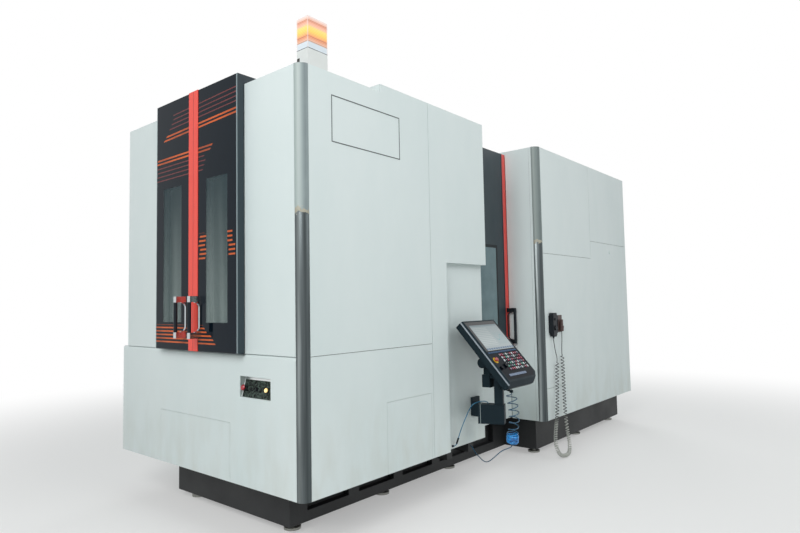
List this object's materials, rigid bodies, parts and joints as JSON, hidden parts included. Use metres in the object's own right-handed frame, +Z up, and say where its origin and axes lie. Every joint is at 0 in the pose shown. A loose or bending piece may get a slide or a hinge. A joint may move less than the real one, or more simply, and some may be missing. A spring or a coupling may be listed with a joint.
{
  "type": "cnc machining center",
  "caption": "Enclosed horizontal machining centre with a turning pallet changer, sliding doors, a tilting operator console on a post, a corner beacon and hanging hoses.",
  "frame": {"origin": "middle of the footprint on the floor, hoses and cords not counted", "axes": "+Z up, +Y from the set-up station's doors to the back, +X towards the operator's side with the console"},
  "size_m": [3.053, 6.17, 3.695],
  "materials": {
    "cover_white": "fine-textured powder coat, cool white",
    "frame_dark": "satin dark blue-grey powder coat",
    "cast_bed": "painted near-black casting",
    "cast_slides": "grey painted casting",
    "stainless": "brushed stainless, partly under grey film",
    "steel_ground": "ground steel",
    "zinc": "zinc plated",
    "glass_black": "smoked safety glass with printed livery",
    "glass_side": "tinted safety glass",
    "plastic_black": "moulded black",
    "plastic_white": "moulded white",
    "lens": "clear lens over amber lamps, lit",
    "screen": "display, lit grey",
    "keys": "membrane plate with coloured keys",
    "button_red": "glossy red",
    "button_lamp": "translucent, lit",
    "hose_blue": "polyurethane hose",
    "cord_grey": "coiled cable, grey sleeve"
  },
  "bodies": {
    "base": {"bed_casting": "cast_bed", "levelling_feet": "zinc", "front_lower_cover": "cover_white", "front_access_panel": "cover_white", "control_recess_panel": "frame_dark", "front_left_panel": "cover_white", "front_right_panel": "cover_white", "front_corner_pillar": "stainless", "side_upper_panel": "cover_white", "side_lower_panel": "cover_white", "side_access_panel": "cover_white", "side_overhang_cover": "cover_white", "left_cover": "cover_white", "station_roof": "cover_white", "beacon_base": "plastic_white", "beacon_lens": "lens", "partition_frame": "stainless", "rear_front_panel": "cover_white", "rear_corner_pillar": "stainless", "rear_right_cover": "cover_white", "rear_roof": "cover_white", "rear_back_cover": "cover_white", "handset_holder": "plastic_black", "handset": "plastic_black", "console_arm": "frame_dark", "air_hose_spiral": "hose_blue", "air_hose_bunch": "hose_blue", "air_hose_lead": "hose_blue", "post_hose": "hose_blue", "handset_cord_leads": "cord_grey", "handset_cord_coil": "cord_grey"},
    "changer_ram": {"changer_ram": "steel_ground"},
    "changer": {"changer_arm": "cast_slides", "pallets": "steel_ground"},
    "saddle": {"table_saddle": "cast_slides"},
    "table": {"rotary_table": "steel_ground"},
    "column": {"spindle_column": "cast_slides"},
    "head": {"spindle_head": "cast_slides"},
    "spindle": {"spindle": "steel_ground"},
    "magazine": {"tool_magazine": "cast_slides"},
    "tool_arm": {"tool_change_arm": "steel_ground"},
    "machining_door": {"machining_door": "frame_dark", "machining_window": "glass_side", "machining_handle": "plastic_black"},
    "door_left": {"station_door_left": "frame_dark", "station_glass_left": "glass_black", "station_handle_left": "plastic_black"},
    "door_right": {"station_door_right": "frame_dark", "station_glass_right": "glass_black", "station_handle_right": "plastic_black"},
    "cabinet_door": {"cabinet_door": "cover_white"},
    "main_switch": {"main_switch": "button_red"},
    "console_yoke": {"console_yoke": "frame_dark"},
    "console": {"console_housing": "frame_dark", "console_screen": "screen", "console_keypad": "keys"},
    "console_estop": {"console_estop": "button_red"},
    "panel_estop": {"panel_estop": "button_red"},
    "panel_button": {"panel_button": "button_lamp"},
    "panel_selector": {"panel_selector": "plastic_black"}
  },
  "joints": [
    {"name": "door_left_slide", "type": "slide", "parent": "base", "child": "door_left", "axis": [-1, 0, 0], "range_m": [0, 0.5]},
    {"name": "door_right_slide", "type": "slide", "parent": "base", "child": "door_right", "axis": [1, 0, 0], "range_m": [0, 0.5]},
    {"name": "machining_door_slide", "type": "slide", "parent": "base", "child": "machining_door", "axis": [0, -1, 0], "range_m": [0, 0.65]},
    {"name": "changer_lift", "type": "slide", "parent": "base", "child": "changer_ram", "axis": [0, 0, 1], "range_m": [-0.09, 0]},
    {"name": "changer_turn", "type": "hinge", "parent": "changer_ram", "child": "changer", "pos_m": [-0.2125, -1.615, 1.29], "axis": [0, 0, 1], "range_deg": [0, 180]},
    {"name": "table_slide", "type": "slide", "parent": "base", "child": "saddle", "axis": [0, 1, 0], "range_m": [0, 0.8]},
    {"name": "table_turn", "type": "hinge", "parent": "saddle", "child": "table", "pos_m": [-0.2125, -0.975, 0.9], "axis": [0, 0, 1], "continuous": true},
    {"name": "column_slide", "type": "slide", "parent": "base", "child": "column", "axis": [1, 0, 0], "range_m": [-0.4, 0.4]},
    {"name": "head_slide", "type": "slide", "parent": "column", "child": "head", "axis": [0, 0, 1], "range_m": [-0.4, 0.4]},
    {"name": "spindle_turn", "type": "hinge", "parent": "head", "child": "spindle", "pos_m": [-0.2125, 0.385, 1.85], "axis": [0, -1, 0], "continuous": true},
    {"name": "magazine_turn", "type": "hinge", "parent": "base", "child": "magazine", "pos_m": [-1.2965, 1.395, 2.25], "axis": [1, 0, 0], "continuous": true},
    {"name": "tool_arm_turn", "type": "hinge", "parent": "base", "child": "tool_arm", "pos_m": [-1.1865, 0.525, 1.85], "axis": [0, -1, 0], "continuous": true},
    {"name": "cabinet_door_swing", "type": "hinge", "parent": "base", "child": "cabinet_door", "pos_m": [-0.1485, 3.053, 1.7], "axis": [0, 0, 1], "range_deg": [0, 110]},
    {"name": "main_switch_turn", "type": "hinge", "parent": "cabinet_door", "child": "main_switch", "pos_m": [0.7235, 3.045, 1.7], "axis": [0, 1, 0], "range_deg": [0, 90]},
    {"name": "console_swivel", "type": "hinge", "parent": "base", "child": "console_yoke", "pos_m": [1.2675, -0.855, 1], "axis": [0, 0, 1], "range_deg": [-7, 7]},
    {"name": "console_tilt", "type": "hinge", "parent": "console_yoke", "child": "console", "pos_m": [1.1785, -0.855, 1.14], "axis": [0, -1, 0], "range_deg": [-2, 5]},
    {"name": "console_estop_push", "type": "slide", "parent": "console", "child": "console_estop", "axis": [-0.7385, 0, -0.6743], "range_m": [0, 0.004], "stiffness_N_per_m": 1500, "springref_m": -0.002},
    {"name": "panel_estop_push", "type": "slide", "parent": "base", "child": "panel_estop", "axis": [0, 0.9659, -0.2588], "range_m": [0, 0.005], "stiffness_N_per_m": 1500, "springref_m": -0.002},
    {"name": "panel_button_push", "type": "slide", "parent": "base", "child": "panel_button", "axis": [0, 0.9659, -0.2588], "range_m": [0, 0.004], "stiffness_N_per_m": 1500, "springref_m": -0.002},
    {"name": "panel_selector_turn", "type": "hinge", "parent": "base", "child": "panel_selector", "pos_m": [0.4715, -2.87488, 1.08651], "axis": [0, -0.9659, 0.2588], "range_deg": [-45, 45]}
  ]
}
